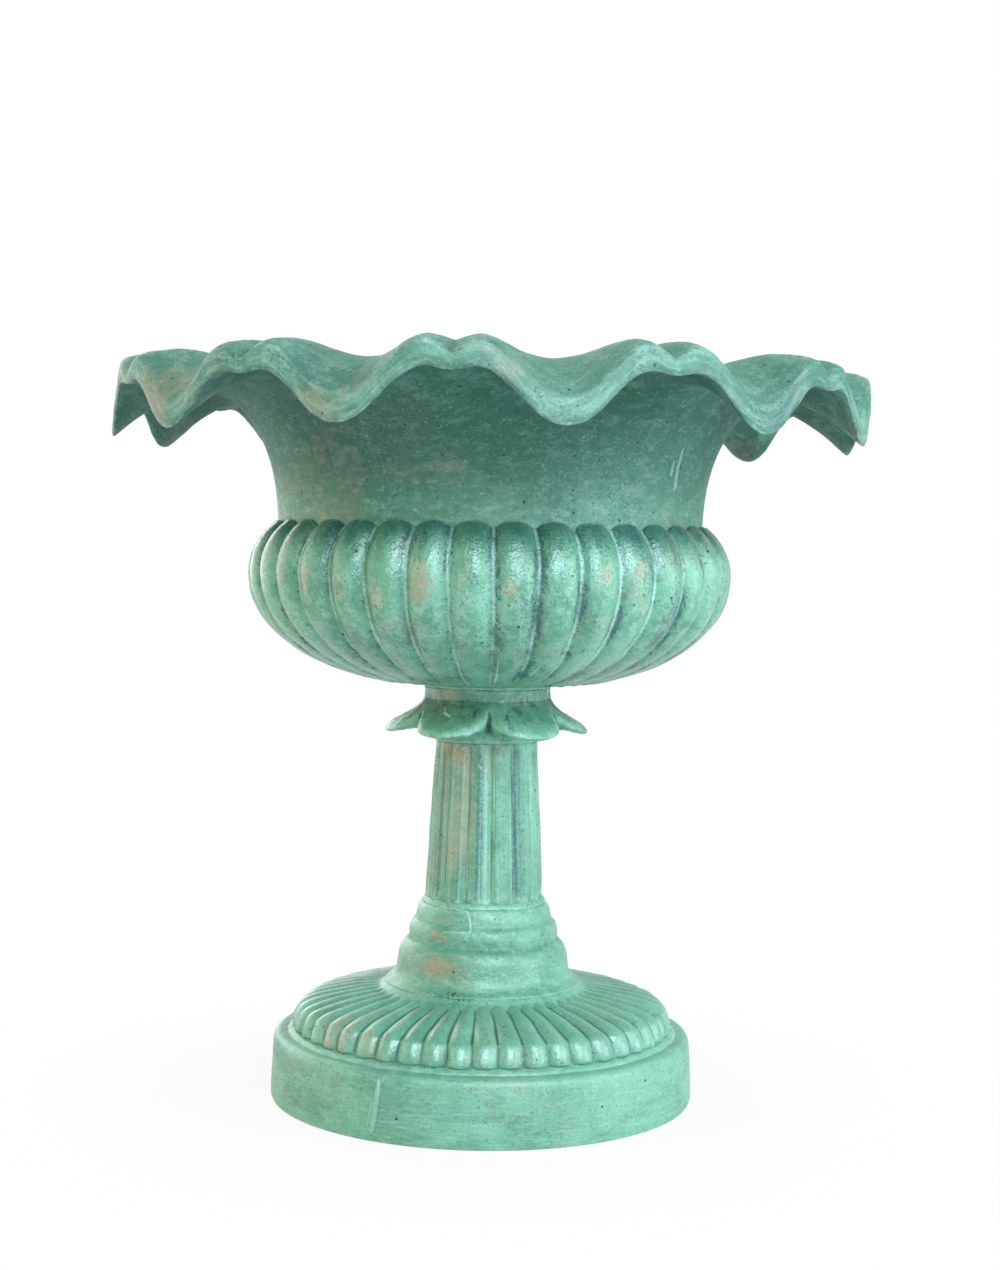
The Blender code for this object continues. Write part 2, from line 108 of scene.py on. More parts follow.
# How deep the ribs, flutes and lobes are cut
RIB_DEPTH = 0.0046
FLUTE_DEPTHS = ((0.0, 0.0027), (0.125, 0.0011), (0.25, 0.0003), (0.375, -0.0001), (0.5, -0.0003))
GADROON_DEPTH = 0.0055
SEAM_HEIGHT = 0.0009

# Half a wave of the rim, under and over its lip: lifts from the fold in a crest down to the trough
UNDER_LIFTS = (0.88, 1.10, 0.75, 0.10, -0.13)
OVER_LIFTS = (0.74, 1.14, 0.75, 0.11, -0.11)
LIFT_STEPS = 8  # of these lifts in a whole wave

# Modelling
ON_LINE = 0.02  # how near to a line, as a share of a lobe, a point counts as lying on it
ROUND_POINTS = 96  # round the castings that have no lobes
SHARP = 0.8  # the crease of a ring that stays a corner


# Modelling helpers


def close_edit():
    if bpy.context.object and bpy.context.object.mode != "OBJECT":
        bpy.ops.object.mode_set(mode="OBJECT")


def let_go():
    close_edit()
    bpy.ops.object.select_all(action="DESELECT")


def take(piece):
    """Make the piece the only one selected."""
    let_go()
    piece.select_set(True)
    bpy.context.view_layer.objects.active = piece


def pick(piece, test):
    """Select, in edit mode, the points that pass the test."""
    mesh = bmesh.from_edit_mesh(piece.data)
    for point in mesh.verts:
        point.select = bool(test(point))
    mesh.select_flush_mode()
    bmesh.update_edit_mesh(piece.data)


def turn_faces_out():
    bpy.ops.mesh.select_all(action="SELECT")
    bpy.ops.mesh.normals_make_consistent(inside=False)


def arc(centre, radii, start, end, count):
    """Points along an elliptical arc in the (radius, height) plane, both ends included."""
    points = []
    for i in range(count + 1):
        angle = math.radians(start + (end - start) * i / count)
        points.append((centre[0] + radii[0] * math.cos(angle), centre[1] + radii[1] * math.sin(angle)))
    return points


def ramp(value, start, length):
    """0 up to the start, rising to 1 over the length."""
    return min(1.0, max(0.0, (value - start) / length))


def radius_of(co):
    return math.hypot(co.x, co.y)


def throw(name, profile, points, turn=0.0):
    """A closed wall drawn round the axis like clay on a wheel, left open in edit mode."""
    let_go()
    radius, height = profile[0]
    bpy.ops.mesh.primitive_circle_add(
        vertices=points, radius=radius, location=(0, 0, height), rotation=(0, 0, math.radians(turn)))
    piece = bpy.context.object
    piece.name = name
    bpy.ops.object.transform_apply(location=True, rotation=True, scale=True)
    bpy.ops.object.mode_set(mode="EDIT")
    bpy.ops.mesh.select_all(action="SELECT")
    for (r0, z0), (r1, z1) in zip(profile, profile[1:]):
        bpy.ops.mesh.extrude_edges_move(TRANSFORM_OT_translate={"value": (0, 0, z1 - z0)})
        bpy.ops.transform.resize(value=(r1 / r0, r1 / r0, 1), center_override=(0, 0, 0))
    last = (len(profile) - 1) * points
    pick(piece, lambda p: p.index < points or p.index >= last)
    bpy.ops.mesh.bridge_edge_loops()
    turn_faces_out()
    return piece


def lobe_share(point, lobes, turn):
    """Where a point lies across its lobe, from 0 at one hollow to 1 at the next."""
    nudge = 1e-4  # keeps a point on a hollow from falling to either side of it
    angle = math.degrees(math.atan2(point.co.y, point.co.x)) + 90 - turn
    return (angle * lobes / 360 + nudge) % 1.0


def fold_distance(point, lobes, turn):
    """How far a point lies from the nearest hollow, as a share of its lobe, 0 to 0.5."""
    at = lobe_share(point, lobes, turn)
    return min(at, 1 - at)


def ring_class(piece, points, ring, lobes, turn, share):
    """Select one ring's points that lie at the given share of a lobe, or its mirror."""
    pick(piece, lambda p: p.index // points == ring and abs(fold_distance(p, lobes, turn) - share) < ON_LINE)


def shift_ring(radius, new_radius, rise):
    """Move the selected points of one ring in or out, and up or down."""
    scale = new_radius / radius
    bpy.ops.transform.resize(value=(scale, scale, 1), center_override=(0, 0, 0))
    bpy.ops.transform.translate(value=(0, 0, rise))


def crease_rings(piece, points, rings, amount):
    for ring in rings:
        pick(piece, lambda p: p.index // points == ring)
        bpy.ops.transform.edge_crease(value=amount)


def crease_folds(piece, points, lobes, turn, first, last, amount):
    """Sharpen the hollows between lobes from one ring to another."""
    pick(piece, lambda p: fold_distance(p, lobes, turn) < ON_LINE and first <= p.index // points <= last)
    bpy.ops.transform.edge_crease(value=amount)


def finish_mesh(piece, levels):
    """Round the piece off by subdivision and leave edit mode."""
    take(piece)
    smooth = piece.modifiers.new("round_off", "SUBSURF")
    smooth.levels = levels
    smooth.render_levels = levels
    bpy.ops.object.modifier_apply(modifier=smooth.name)
    bpy.ops.object.shade_smooth()


def roughen(piece, size, depth, direction="NORMAL", keep=None):
    """Uneven hand casting: push the surface in and out by soft noise of the given size."""
    take(piece)
    clouds = bpy.data.textures.new(piece.name + "_lumps", "CLOUDS")
    clouds.noise_scale = size
    clouds.noise_depth = 1
    lumps = piece.modifiers.new("lumps", "DISPLACE")
    lumps.texture = clouds
    lumps.texture_coords = "LOCAL"
    lumps.direction = direction
    lumps.strength = depth
    lumps.mid_level = 0.5
    if keep:
        lumps.vertex_group = keep
    bpy.ops.object.modifier_apply(modifier=lumps.name)


def weigh(piece, name, weight):
    """A vertex group whose weight comes from a function of the point's place."""
    group = piece.vertex_groups.new(name=name)
    for point in piece.data.vertices:
        group.add([point.index], weight(point.co), "REPLACE")
    return name


def warp(piece, size, reach):
    """Uneven spacing: slide the piece's outer surface sideways by soft noise, and leave its bore true."""
    keep = weigh(piece, "outer", lambda co: ramp(radius_of(co), 0.012, 0.02))
    for axis, stretch in (("X", 1.0), ("Y", 1.2)):
        roughen(piece, size * stretch, reach, axis, keep)


def store(piece, name, values):
    """Keep a value for each point of a piece, for its material to read."""
    layer = piece.data.attributes.new(name, "FLOAT", "POINT")
    layer.data.foreach_set("value", values)


def run_places(path):
    """The places along a run of paint: each leg of its path in even steps."""
    steps = 6
    places = []
    for (a0, z0), (a1, z1) in zip(path, path[1:]):
        for step in range(steps):
            share = step / steps
            places.append((a0 + (a1 - a0) * share, z0 + (z1 - z0) * share))
    return places + [path[-1]]


def run_paint(piece, path, width):
    """A run of paint on a casting: a tapered bead through places given by angle, in degrees, and height."""
    clear_of_urn, sunk = 0.5, 0.5
    bpy.context.view_layer.update()
    line = bpy.data.curves.new("run", "CURVE")
    line.dimensions = "3D"
    line.bevel_depth = width
    line.bevel_resolution = 3
    line.use_fill_caps = True
    places = run_places(path)
    spline = line.splines.new("POLY")
    spline.points.add(len(places) - 1)
    for at, (angle, height) in enumerate(places):
        out = Vector((math.sin(math.radians(angle)), -math.cos(math.radians(angle)), 0))
        _, spot, _, _ = piece.ray_cast(out * clear_of_urn + Vector((0, 0, height)), -out)
        share = at / (len(places) - 1)
        swell = 0.8 + 0.4 * share
        spline.points[at].co = (*(spot - out * width * sunk), 1)
        spline.points[at].radius = min(1.0, 0.35 + 3 * share, 0.45 + 5 * (1 - share)) * swell
    run = bpy.data.objects.new("run", line)
    bpy.context.scene.collection.objects.link(run)
    take(run)
    bpy.ops.object.convert(target="MESH")
    run = bpy.context.object
    bpy.ops.object.mode_set(mode="EDIT")
    turn_faces_out()
    bpy.ops.object.mode_set(mode="OBJECT")
    bpy.ops.object.shade_smooth()
    store(run, "run", [1.0] * len(run.data.vertices))
    take(piece)
    run.select_set(True)
    bpy.ops.object.join()


def faces_out(point, normal):
    """Whether a point is on a casting's outside, facing away from the axis or down."""
    return normal.x * point.x + normal.y * point.y - 0.1 * normal.z > 0


def raise_seams(piece, lobes, turn, low, high):
    """Raise a thin bead in each hollow between lobes, and store points' distances from it in millimetres."""
    half_bead, far_off = 0.01, 20.0

    def outside(point):
        return low < point.co.z < high and faces_out(point.co, point.normal)

    take(piece)
    bpy.ops.object.mode_set(mode="EDIT")
    pick(piece, lambda p: fold_distance(p, lobes, turn) < half_bead and outside(p))
    bpy.ops.transform.shrink_fatten(value=SEAM_HEIGHT)
    close_edit()
    distances = []
    for point in piece.data.vertices:
        pitch = radius_of(point.co) * TAU / lobes * 1000
        distances.append(fold_distance(point, lobes, turn) * pitch if outside(point) else far_off)
    store(piece, "seam", distances)


def feel_relief(piece, rounds):
    """Store how far each point stands out of, or lies in, the surface round it, in millimetres."""
    mesh = piece.data
    count = len(mesh.vertices)
    places = np.empty(count * 3)
    mesh.vertices.foreach_get("co", places)
    places = places.reshape(-1, 3)
    normals = np.empty(count * 3)
    mesh.vertices.foreach_get("normal", normals)
    normals = normals.reshape(-1, 3)
    edges = np.empty(len(mesh.edges) * 2, dtype=np.int64)
    mesh.edges.foreach_get("vertices", edges)
    a, b = edges.reshape(-1, 2).T
    degree = np.bincount(a, minlength=count) + np.bincount(b, minlength=count)
    smooth = places.copy()
    for _ in range(rounds):
        total = np.empty_like(smooth)
        for axis in range(3):
            total[:, axis] = np.bincount(a, smooth[b, axis], count) + np.bincount(b, smooth[a, axis], count)
        smooth = 0.5 * smooth + 0.5 * total / degree[:, None]
    relief = ((places - smooth) * normals).sum(axis=1) * 1000
    store(piece, "relief", relief.astype(np.float32))


def place(piece, material, slot, *nodes):
    """Paint a finished piece, and let it ride on the urn in place of its solids."""
    piece.data.materials.clear()
    piece.data.materials.append(material)
    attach(piece, "root")
    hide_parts(*nodes)


# Materials


def colour(red, green, blue):
    """A colour as seen on a screen, 0 to 255, turned into linear light."""
    return tuple(((c / 255 + 0.055) / 1.055) ** 2.4 for c in (red, green, blue)) + (1.0,)


class Tone:
    """A value in a material's nodes. Arithmetic on it adds Math nodes."""

    def __init__(self, finish, socket):
        self.finish = finish
        self.socket = socket

    def beside(self, out):
        """Another output of the same node."""
        return Tone(self.finish, self.socket.node.outputs[out])

    def __add__(self, other):
        return self.finish.math("ADD", self, other)

    __radd__ = __add__

    def __sub__(self, other):
        return self.finish.math("SUBTRACT", self, other)

    def __rsub__(self, other):
        return self.finish.math("SUBTRACT", other, self)

    def __mul__(self, other):
        return self.finish.math("MULTIPLY", self, other)

    __rmul__ = __mul__

    def __truediv__(self, other):
        return self.finish.math("DIVIDE", self, other)


class Nodes:
    """A tree of nodes under construction."""

    def __init__(self, tree):
        self.tree = tree

    def feed(self, socket, value):
        if isinstance(value, Tone):
            self.tree.links.new(value.socket, socket)
        else:
            socket.default_value = value

    def node(self, kind, settings=None, sockets=None, out=0):
        """Add a node of any kind: its settings first, then the values or links of its sockets."""
        made = self.tree.nodes.new(kind)
        for key, value in (settings or {}).items():
            setattr(made, key, value)
        for key, value in (sockets or {}).items():
            self.feed(made.inputs[key], value)
        return Tone(self, made.outputs[out])

    def math(self, operation, *values):
        return self.node("ShaderNodeMath", {"operation": operation}, dict(enumerate(values)))

    def seen(self):
        """1 for what the eye meets, straight on, mirrored or through glass, and 0 for what only lights."""
        eye = self.node("ShaderNodeLightPath", out="Is Camera Ray")
        mirrored, passed = eye.beside("Is Glossy Ray"), eye.beside("Is Transmission Ray")
        return self.math("MAXIMUM", eye, self.math("MAXIMUM", mirrored, passed))


class Finish(Nodes):
    """A material under construction."""

    def __init__(self, name):
        self.material = bpy.data.materials.new(name)
        self.material.use_nodes = True
        super().__init__(self.material.node_tree)
        self.shader = self.tree.nodes["Principled BSDF"]
        self.place = self.node("ShaderNodeTexCoord", out="Object")

    def stored(self, name):
        """The value that the piece's points keep under a name."""
        return self.node("ShaderNodeAttribute", {"attribute_name": name}, out="Fac")

    def upright(self, vector):
        return self.node("ShaderNodeSeparateXYZ", None, {"Vector": vector}, out="Z")

    def length(self, vector):
        return self.node("ShaderNodeVectorMath", {"operation": "LENGTH"}, {0: vector}, out="Value")

    def stretched(self, vector, stretch):
        return self.node("ShaderNodeMapping", None, {"Vector": vector, "Scale": stretch})

    def mix(self, under, over, share):
        """Lay one colour over another by a share."""
        settings = {"data_type": "RGBA", "clamp_factor": True}
        return self.node("ShaderNodeMix", settings, {0: share, 6: under, 7: over}, out=2)

    def band(self, value, low, high):
        """0 below low and 1 above high, with a soft step between."""
        sockets = {"Value": value, "From Min": low, "From Max": high}
        return self.node("ShaderNodeMapRange", {"interpolation_type": "SMOOTHSTEP"}, sockets)

    def noise(self, scale, detail=3.0, stretch=(1, 1, 1), roughness=0.55, distortion=0.0, where=None):
        sockets = {
            "Vector": self.stretched(where or self.place, stretch), "Scale": scale, "Detail": detail,
            "Roughness": roughness, "Distortion": distortion}
        return self.node("ShaderNodeTexNoise", None, sockets, out="Fac")

    def specks(self, scale, size, share):
        """Round specks: a share of the cells of the given scale hold one of the given size."""
        sockets = {"Vector": self.place, "Scale": scale}
        cells = self.node("ShaderNodeTexVoronoi", None, sockets, out="Distance")
        chance = self.node("ShaderNodeSeparateColor", None, {"Color": cells.beside("Color")}, out="Red")
        inside = 1 - self.band(cells, size * 0.6, size)
        return inside * self.band(chance, 1 - share, 1 - share + 0.02)

    def near(self, angle, radius, height, size, tall):
        """1 at a place on the urn, falling to 0 at a size round it, drawn out to be tall for its width."""
        squat = self.stretched(self.place, (1, 1, 1 / tall))
        turn = math.radians(angle)
        spot = (radius * math.sin(turn), -radius * math.cos(turn), height / tall)
        away = self.node("ShaderNodeVectorMath", {"operation": "DISTANCE"}, {0: squat, 1: spot}, out="Value")
        return 1 - self.band(away, 0.2 * size, size)

    def around(self, core, level=None):
        """Places on a unit cylinder, so that strokes follow the turning. Inside the core they lie flat.

        level names a stored height that takes the place of the true one.
        """
        x = self.node("ShaderNodeSeparateXYZ", None, {"Vector": self.place}, out="X")
        y = x.beside("Y")
        z = self.stored(level) if level else x.beside("Z")
        radius = self.math("MAXIMUM", self.math("SQRT", x * x + y * y), core)
        return self.node("ShaderNodeCombineXYZ", None, {"X": x / radius, "Y": y / radius, "Z": z})

    def paint(self, base, rough, bumps, strength, distance):
        self.feed(self.shader.inputs["Base Color"], base)
        self.feed(self.shader.inputs["Roughness"], rough)
        sockets = {"Height": bumps, "Strength": strength, "Distance": distance}
        self.feed(self.shader.inputs["Normal"], self.node("ShaderNodeBump", None, sockets))
        return self.material


GREEN = colour(112, 178, 154)
DEEP_GREEN = colour(72, 138, 112)
PALE_MINT = colour(166, 212, 204)
DARK_TEAL = colour(20, 76, 67)
STAIN_TEAL = colour(38, 90, 90)
BARE_BROWN = colour(144, 138, 114)
COPPER = colour(176, 144, 118)
CHIP_DARK = colour(22, 36, 32)


def verdigris(name, stroke=(1.6, 1.6, 60), stains=(9, 9, 14), wash=0.6, rub=0.4, pits=0.5, speckle=0.0,
              hollow=1.0, proud=1.0, streak=0.2, stain=0.5, seam=0.0, tone=0.0, dark_top_and_shade=None, painted_underside_shade=0.0,
              gloss=0.3, sandy=0.5, even=0.0, dusty=1.0, core=0.01, edge=None, level=None, sheen=0.55,
              worn=(), chips=()):
    """Verdigris paint brushed on cast stone: strokes, stains, wash in hollows, bare ridges, pits and specks.

    stroke, stains: how those layers are stretched over the unit cylinder and up the axis
    core, level: the radius inside which strokes lie flat, and the stored height that they follow, if any
    wash, rub, pits, speckle, streak, stain: strengths of the layers
    hollow, proud: the relief, in millimetres, at which the wash is darkest and the rub is barest
    seam: width, in millimetres, of the pale lines in the hollows
    tone, painted_underside_shade: how far the coat is darkened all over, and the shade painted where it faces
    down
    dark_top_and_shade: where a darker coat towards the top starts and is full, and its strength; partly
    stain, partly shade painted under what overhangs
    edge: a paler face's start and full radius, and its strength; paler paint on the rim's fascia, a painted
    highlight on the foot's teeth
    even, dusty: how plain the green is, and how broken the borders of stains and wear are
    gloss, sheen, sandy: the least roughness, the strength of the shine and the height of the grain
    worn, chips: bare and broken places, by angle, radius, height, size and how tall each is for its width
    """
    finish = Finish(name)
    relief = finish.stored("relief")
    around = finish.around(core, level)
    strokes = finish.noise(1.0, 6.0, stroke, 0.7, 0.5, around)
    fine_strokes = finish.noise(3.4, 5.0, stroke, 0.7, 0.3, around)
    drifts = finish.noise(1.0, 5.0, stains, 0.68, 0.4, around)
    clouds = finish.noise(12.0, 4.0, roughness=0.55)
    patches = finish.noise(30.0, 6.0, roughness=0.72, distortion=0.6)
    mottle = finish.noise(120.0, 5.0, roughness=0.78)
    grain = finish.noise(430.0, 2.0, roughness=0.8)
    # The same noises, but swinging to both sides of nothing
    blotch, fleck, dust = patches - 0.5, mottle - 0.5, grain - 0.5

    # The coat itself
    base = finish.mix(DEEP_GREEN, GREEN, finish.band(0.4 * clouds + 0.4 * patches + 0.2 * mottle, 0.38, 0.58))
    base = finish.mix(base, GREEN, even)
    base = finish.mix(base, DARK_TEAL, tone)
    # Painted shade: the coat is darkened where the surface faces down, and stains are thinner there
    down = 0.0
    if painted_underside_shade:
        facing = finish.upright(finish.node("ShaderNodeNewGeometry", out="Normal"))
        down = finish.band(-1 * facing, -0.1, 0.35)
        base = finish.mix(base, DARK_TEAL, painted_underside_shade * down)
    # A darker coat towards the top: partly stains, partly painted shade under the flange and the bowl
    if dark_top_and_shade:
        start, full, strength = dark_top_and_shade
        height = finish.upright(finish.place) + 0.03 * (drifts - 0.5) + 0.02 * dust
        base = finish.mix(base, DARK_TEAL, strength * finish.band(height, start, full))
    base = finish.mix(base, PALE_MINT, streak * finish.band(fine_strokes + 0.3 * mottle, 0.60, 0.86))
    base = finish.mix(base, DARK_TEAL, 0.7 * streak * finish.band(strokes + 0.3 * fine_strokes, 0.66, 0.90))

    # Stains, and the wash in the hollows
    spread = drifts + dusty * (0.5 * fleck + 0.6 * dust) - 0.05 * relief / proud
    if seam:
        off = finish.stored("seam")
        spread = spread + 0.08 * (1 - finish.band(off, 2.0, 7.0))
    base = finish.mix(base, STAIN_TEAL, stain * (1 - 0.7 * down) * finish.band(spread, 0.52, 0.66))
    low = finish.band(0.9 * hollow * fleck + 0.6 * hollow * blotch - relief, 0.1, hollow)
    base = finish.mix(base, DARK_TEAL, wash * low)
    # A paler face at the outer radius, with a darker line at its border: on the foot it is a painted
    # highlight on the teeth's fronts
    if edge:
        start, full, strength = edge
        radius = finish.length(finish.stretched(finish.place, (1, 1, 0)))
        face = finish.band(radius + 0.003 * fleck, start, full)
        border = 2.4 * strength * face * (1 - face)
        base = finish.mix(base, PALE_MINT, strength * face * finish.band(fine_strokes, 0.38, 0.62))
        base = finish.mix(base, DARK_TEAL, border * finish.band(patches, 0.40, 0.55))

    # Wear: bare stone, a copper tint, and pale ridges and threads
    warm = finish.noise(19.0, 5.0, roughness=0.7, distortion=0.4)
    for spot in worn:
        warm = warm + 0.2 * finish.near(*spot)
    warm = warm + dusty * (0.3 * fleck + 0.2 * dust) + 0.35 * (fine_strokes - 0.5)
    broken = 1 - dusty * (0.5 - 0.7 * finish.band(grain + 0.6 * mottle, 0.62, 0.98))
    bare = finish.band(warm, 0.54, 0.76) * finish.band(relief, -0.5 * proud, 0.5 * proud) * broken
    base = finish.mix(base, BARE_BROWN, rub * bare)
    copper = finish.band(warm, 0.60, 0.84) * finish.band(dusty * dust + 0.5 * mottle, 0.05, 0.5)
    base = finish.mix(base, COPPER, 0.8 * rub * copper)
    ridge = finish.band(relief, 0.5 * proud, 1.2 * proud) * finish.band(mottle, 0.42, 0.62)
    base = finish.mix(base, PALE_MINT, 0.35 * ridge)
    if seam:
        line = 1 - finish.band(off + 1.4 * fleck + 1.0 * dust, 0.3 * seam, seam)
        base = finish.mix(base, PALE_MINT, 0.6 * line * finish.band(patches + 0.5 * dust, 0.34, 0.56))

    # Grain, dots, pits, chips and fresh runs
    base = finish.mix(base, DARK_TEAL, 0.45 * finish.band(grain + 0.4 * mottle, 0.76, 0.92))
    base = finish.mix(base, PALE_MINT, 0.25 * finish.band(1 - grain + 0.4 * mottle, 0.80, 0.95))
    if speckle:
        dots = finish.band(finish.noise(620.0, 1.0), 0.66, 0.74) * finish.band(clouds, 0.4, 0.6)
        base = finish.mix(base, PALE_MINT, speckle * dots)
    holes = finish.specks(75.0, 0.085, pits)
    small_holes = finish.specks(130.0, 0.11, 0.25 * pits)
    base = finish.mix(base, CHIP_DARK, 0.95 * finish.math("MAXIMUM", holes, 0.85 * small_holes))
    for spot in chips:
        chipped = finish.band(0.4 * finish.near(*spot) + 1.2 * fleck + 1.0 * dust, 0.36, 0.46)
        base = finish.mix(base, CHIP_DARK, 0.85 * chipped)
    base = finish.mix(base, PALE_MINT, 0.3 * finish.stored("run"))

    rough = gloss + 0.12 * mottle + 0.2 * grain + 0.2 * low
    bumps = 0.5 * fine_strokes + 0.6 * grain + 0.5 * mottle - 1.8 * holes - 1.0 * small_holes
    finish.shader.inputs["Specular IOR Level"].default_value = sheen
    return finish.paint(base, rough, bumps, sandy, 0.0012)


def mortar_finish():
    finish = Finish("painted_mortar")
    lumps = finish.noise(160.0, 5.0, roughness=0.7)
    base = finish.mix(DARK_TEAL, DEEP_GREEN, finish.band(lumps, 0.35, 0.65))
    base = finish.mix(base, CHIP_DARK, 0.7 * finish.band(finish.noise(90.0, 4.0), 0.56, 0.64))
    return finish.paint(base, 0.7 + 0.2 * lumps, lumps, 0.6, 0.0015)


def zinc_finish():
    finish = Finish("zinc_plated_steel")
    spangle = finish.noise(260.0, 4.0, roughness=0.7)
    dull = finish.noise(60.0, 3.0)
    base = finish.mix(colour(150, 152, 150), colour(196, 198, 196), finish.band(spangle, 0.35, 0.65))
    base = finish.mix(base, colour(150, 176, 160), 0.35 * finish.band(dull, 0.5, 0.65))
    finish.shader.inputs["Metallic"].default_value = 0.9
    return finish.paint(base, 0.38 + 0.2 * spangle, spangle, 0.15, 0.0005)


def rubber_finish():
    finish = Finish("black_rubber")
    grain = finish.noise(500.0, 3.0)
    base = finish.mix(colour(28, 29, 30), colour(46, 48, 48), finish.band(grain, 0.4, 0.65))
    return finish.paint(base, 0.7 + 0.15 * grain, grain, 0.2, 0.0004)


# Castings


def make_plinth():
    rounding, chamfer = 0.006, 0.0015
    inset = PLINTH_RADIUS - chamfer
    shoulder = arc((inset - rounding, PLINTH_TOP - rounding), (rounding, rounding), 0, 90, 3)
    profile = [
        (BORE_RADIUS, 0.0235), (0.026, 0.0235), (0.026, 0.004), (0.115, 0.004), (0.120, 0.0),
        (inset, 0.0), (PLINTH_RADIUS, chamfer), (PLINTH_RADIUS - 0.0003, 0.010),
        (PLINTH_RADIUS - 0.0009, 0.026), *shoulder, (0.128, PLINTH_TOP), (0.06, PLINTH_TOP),
        (BORE_RADIUS, PLINTH_TOP),
    ]
    plinth = throw("plinth_casting", profile, ROUND_POINTS)
    crease_rings(plinth, ROUND_POINTS, (0, 1, 2, 3, 4, 5, len(profile) - 1), SHARP)
    finish_mesh(plinth, 2)
    keep = weigh(plinth, "above_floor", lambda co: ramp(co.z, 0.001, 0.004))
    roughen(plinth, 0.03, 0.0009, "NORMAL", keep)
    return plinth


def make_foot():
    """The disc of ribs, which end in rounded teeth at its edge."""
    points = RIBS * 4
    edge = FOOT_RADIUS
    end_z = FOOT_Z + 0.018
    seat = BELL_RADIUS - 0.0042
    profile = [
        (BORE_RADIUS, FOOT_Z), (edge - 0.012, FOOT_Z), (edge - 0.0015, FOOT_Z), (edge, FOOT_Z + 0.002),
        (edge - 0.0016, FOOT_Z + 0.008), (edge - 0.0046, end_z - 0.0036), (edge - 0.0088, end_z - 0.0002),
        (edge - 0.0150, end_z + 0.0026), (edge - 0.03, end_z + 0.0062), (edge - 0.047, FOOT_TOP - 0.0021),
        (BELL_RADIUS, FOOT_TOP), (seat, FOOT_TOP), (BORE_RADIUS, FOOT_TOP),
    ]
    sinks = [0, 0, 1.0, 1.0, 1.0, 1.0, 0.95, 0.85, 0.75, 0.65, 0.5, 0, 0]
    teeth = range(2, 6)
    foot = throw("ribbed_foot_casting", profile, points, FOOT_TURN)
    for ring, ((radius, _), sink) in enumerate(zip(profile, sinks)):
        for share, part in ((0.0, 1.0), (0.25, 0.16)):
            depth = RIB_DEPTH * sink * part
            ring_class(foot, points, ring, RIBS, FOOT_TURN, share)
            if ring in teeth:
                shift_ring(radius, radius - depth, 0)
            else:
                shift_ring(radius, radius - depth * 0.4, -0.8 * depth)
    crease_folds(foot, points, RIBS, FOOT_TURN, 2, 10, 0.75)
    crease_rings(foot, points, (0, 1, 11, 12), SHARP)
    finish_mesh(foot, 2)
    warp(foot, 0.035, 0.0024)
    roughen(foot, 0.02, 0.0008)
    return foot


def make_bell():
    """The flare and crown of the bell, with two stepped rings on it."""
    waist = BELL_RADIUS - 0.0095
    shoulder = BELL_RADIUS - 0.0135
    lip_z = BELL_Z + 0.002
    waist_z = BELL_Z + 0.01475
    bell_top = BELL_Z + 0.0307
    upper_z = bell_top + 0.0141
    lower_ring = COLUMN_FOOT_RADIUS + 0.0105
    upper_ring = COLUMN_FOOT_RADIUS + 0.005
    flare = arc((BELL_RADIUS, waist_z), (BELL_RADIUS - waist, waist_z - lip_z), 262, 180, 5)
    crown = arc((shoulder - 0.004, waist_z), (waist - shoulder + 0.004, bell_top - waist_z), 20, 70, 3)
    profile = [
        (BORE_RADIUS, BELL_Z), (BELL_RADIUS - 0.0015, BELL_Z), (BELL_RADIUS, BELL_Z + 0.0006), *flare, *crown,
        (lower_ring + 0.0002, bell_top + 0.0006), (lower_ring + 0.0010, bell_top + 0.0040),
        (lower_ring + 0.0004, bell_top + 0.0095), (lower_ring - 0.0012, bell_top + 0.0128),
        (upper_ring + 0.0014, upper_z + 0.0004), (upper_ring + 0.0012, upper_z + 0.0036),
        (upper_ring + 0.0002, upper_z + 0.0086), (upper_ring - 0.0018, BELL_TOP - 0.0008),
        (COLUMN_FOOT_RADIUS + 0.0005, BELL_TOP), (BORE_RADIUS, BELL_TOP),
    ]
    bell = throw("bell_base_casting", profile, ROUND_POINTS)
    crease_rings(bell, ROUND_POINTS, (0, 1, len(profile) - 1), SHARP)
    finish_mesh(bell, 2)
    roughen(bell, 0.02, 0.0008)
    return bell


def make_column():
    points = FLUTES * 8
    heights = (0.0, 0.004, 0.03, 0.056, 0.083, 0.1085, 0.1125)
    taper = (COLUMN_HEAD_RADIUS - COLUMN_FOOT_RADIUS) / (COLUMN_TOP - COLUMN_Z)
    outside = [(COLUMN_FOOT_RADIUS + taper * h, COLUMN_Z + h) for h in heights]
    profile = [(BORE_RADIUS, COLUMN_Z), *outside, (BORE_RADIUS, COLUMN_TOP)]
    top = len(outside)
    column = throw("fluted_column_casting", profile, points, FLUTE_TURN)
    for ring, (radius, _) in enumerate(outside, start=1):
        for share, depth in FLUTE_DEPTHS:
            ring_class(column, points, ring, FLUTES, FLUTE_TURN, share)
            shift_ring(radius, radius - depth, 0)
    crease_folds(column, points, FLUTES, FLUTE_TURN, 1, top, 0.6)
    crease_rings(column, points, (0, 1, top, top + 1), SHARP)
    finish_mesh(column, 2)
    warp(column, 0.03, 0.0014)
    roughen(column, 0.02, 0.0006)
    return column


def petal_swell(share):
    """How far a petal has grown at a share of its lobe: nothing at the fold, all at its middle."""
    return (1 - (1 - 2 * share) ** 2) ** 0.8


